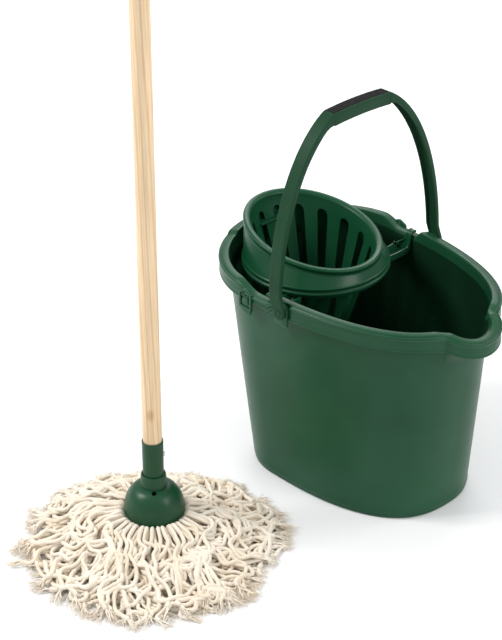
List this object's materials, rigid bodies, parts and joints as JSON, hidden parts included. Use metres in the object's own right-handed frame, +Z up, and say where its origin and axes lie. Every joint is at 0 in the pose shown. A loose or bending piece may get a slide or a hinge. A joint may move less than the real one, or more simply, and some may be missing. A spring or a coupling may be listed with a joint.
{
  "type": "mop and bucket set",
  "caption": "Oval spouted bucket with a swing bail and a hanging cone wringer, and a cotton string mop on a wooden pole standing beside it.",
  "frame": {"origin": "on the underside of the bucket's base, straight below the bail's pivots", "axes": "+X along the bucket towards its spout, +Y across it away from the mop, +Z up"},
  "size_m": [0.3992, 0.5932, 1.288],
  "materials": {
    "green_plastic": "satin moulded polypropylene",
    "green_strap": "matte moulded polypropylene",
    "black_grip": "ribbed",
    "pine": "sanded, unvarnished",
    "zinc_steel": "zinc plated",
    "cotton": "plied unbleached cotton"
  },
  "bodies": {
    "bucket": {"bucket": "green_plastic"},
    "wringer": {"wringer": "green_plastic"},
    "bail": {"bail": "green_strap", "bail_grip": "black_grip"},
    "mop_head": {"socket": "green_plastic", "yarn_plate": "green_plastic", "plate_screws": "zinc_steel", "yarn_01": "cotton", "yarn_02": "cotton", "yarn_03": "cotton", "yarn_04": "cotton", "yarn_05": "cotton", "yarn_06": "cotton", "yarn_07": "cotton", "yarn_08": "cotton", "yarn_09": "cotton", "yarn_10": "cotton", "yarn_11": "cotton", "yarn_12": "cotton"},
    "mop_handle": {"pole": "pine", "sleeve": "green_plastic", "sleeve_screw": "zinc_steel"}
  },
  "joints": [
    {"name": "bail_swing", "type": "hinge", "parent": "bucket", "child": "bail", "pos_m": [0, 0, 0.256], "axis": [0, 1, 0], "range_deg": [-50, 84]},
    {"name": "wringer_lift", "type": "slide", "parent": "bucket", "child": "wringer", "axis": [0, 0, 1], "range_m": [0, 0.04]},
    {"name": "mop_lift", "type": "slide", "parent": "bucket", "child": "mop_head", "axis": [0, 0, 1], "range_m": [0, 0.3]},
    {"name": "handle_pull", "type": "slide", "parent": "mop_head", "child": "mop_handle", "axis": [0, 0, 1], "range_m": [0, 0.06]}
  ]
}
